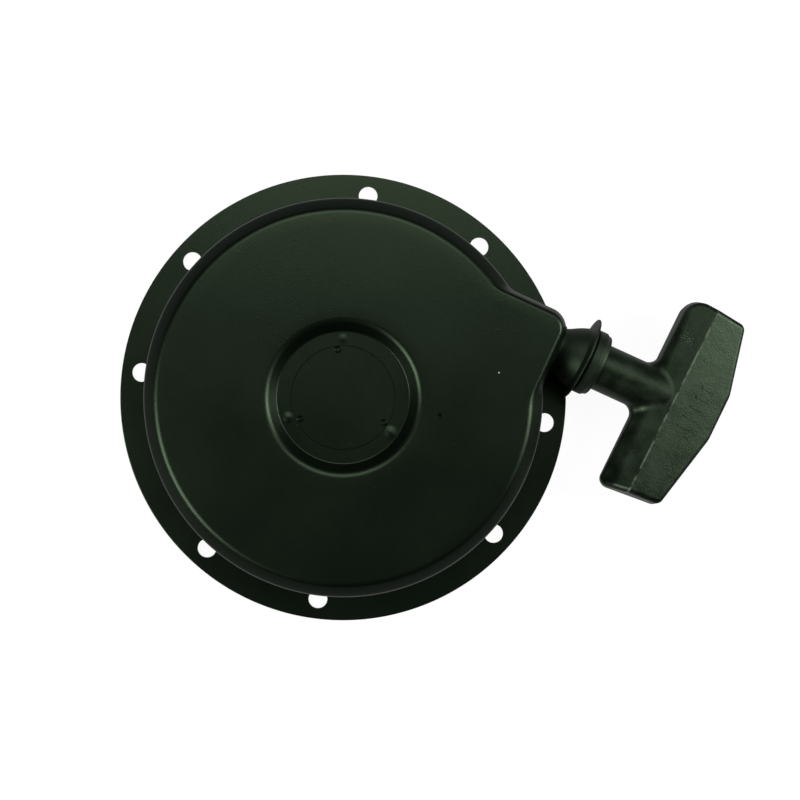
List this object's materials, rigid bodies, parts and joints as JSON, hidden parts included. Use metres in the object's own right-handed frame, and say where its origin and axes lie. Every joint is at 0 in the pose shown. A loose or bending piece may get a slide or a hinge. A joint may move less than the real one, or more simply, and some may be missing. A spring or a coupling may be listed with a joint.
{
  "type": "recoil starter",
  "caption": "Round pressed-steel recoil starter with a bolting flange, a rope outlet nose with a rubber boot, and a T-shaped pull handle; rope reel, recoil spring and pawls inside.",
  "frame": {"origin": "centre of the bolting flange on its engine-side face", "axes": "+X along the rope as it is pulled, +Z out of the closed side of the pan, away from the engine"},
  "size_m": [0.2692, 0.2164, 0.046],
  "materials": {
    "pan_paint": "satin black paint over pressed steel, fine orange peel",
    "hub_paint": "satin black paint",
    "turned_steel": "turned, oiled",
    "zinc_steel": "bright zinc plate",
    "pawl_steel": "hardened, phosphated",
    "plate_steel": "stamped, zinc plate",
    "spring_steel": "blued spring steel",
    "bush_bronze": "sintered bronze, oiled",
    "reel_nylon": "glass-filled nylon, moulded",
    "guide_nylon": "moulded nylon",
    "boot_rubber": "moulded rubber, slightly dusty",
    "grip_plastic": "moulded plastic, satin, worn on the outer facet",
    "starter_rope": "braided polyester"
  },
  "bodies": {
    "housing": {"housing_pan": "pan_paint", "hub_plate": "hub_paint", "reel_post": "turned_steel", "rope_guide": "guide_nylon", "guide_ring": "spring_steel", "rope_boot": "boot_rubber", "centre_screw": "zinc_steel", "thrust_washer": "zinc_steel", "wave_washer": "spring_steel", "rope_run": "starter_rope"},
    "reel": {"reel": "reel_nylon", "reel_bush": "bush_bronze", "recoil_spring": "spring_steel", "spring_cover": "zinc_steel", "cover_screws": "zinc_steel", "pawl_pins": "turned_steel", "pawl_spring_1": "spring_steel", "pawl_spring_2": "spring_steel", "rope_coil": "starter_rope", "rope_knot_reel": "starter_rope"},
    "pawl_1": {"pawl_1": "pawl_steel"},
    "pawl_2": {"pawl_2": "pawl_steel"},
    "friction_plate": {"friction_plate": "plate_steel"},
    "handle": {"handle_grip": "grip_plastic", "grip_washer": "zinc_steel", "rope_tail": "starter_rope", "rope_knot_handle": "starter_rope"}
  },
  "joints": [
    {"name": "handle_pull", "type": "slide", "parent": "housing", "child": "handle", "axis": [1, 0, 0], "range_m": [0, 0.75], "deforming": ["rope_run"]},
    {"name": "reel_spin", "type": "hinge", "parent": "housing", "child": "reel", "pos_m": [0, 0, 0.021], "axis": [0, 0, -1], "range_deg": [0, 688], "stiffness_Nm_per_rad": 0.077, "springref_deg": -572.96, "deforming": ["recoil_spring"]},
    {"name": "guide_turn", "type": "hinge", "parent": "reel", "child": "friction_plate", "pos_m": [0, 0, 0.0072], "axis": [0, 0, 1], "range_deg": [0, 25]},
    {"name": "pawl_1_swing", "type": "hinge", "parent": "reel", "child": "pawl_1", "pos_m": [0.02349, 0.00855, 0.012], "axis": [0, 0, 1], "range_deg": [0, 32], "stiffness_Nm_per_rad": 0.005, "springref_deg": -17.19, "deforming": ["pawl_spring_1"]},
    {"name": "pawl_2_swing", "type": "hinge", "parent": "reel", "child": "pawl_2", "pos_m": [-0.02349, -0.00855, 0.012], "axis": [0, 0, 1], "range_deg": [0, 32], "stiffness_Nm_per_rad": 0.005, "springref_deg": -17.19, "deforming": ["pawl_spring_2"]}
  ],
  "couplings": [
    {"joint": "reel_spin", "follows": "handle_pull", "rad_per_m": 15.974},
    {"joint": "pawl_1_swing", "follows": "guide_turn", "ratio": 1.28},
    {"joint": "pawl_2_swing", "follows": "guide_turn", "ratio": 1.28}
  ]
}
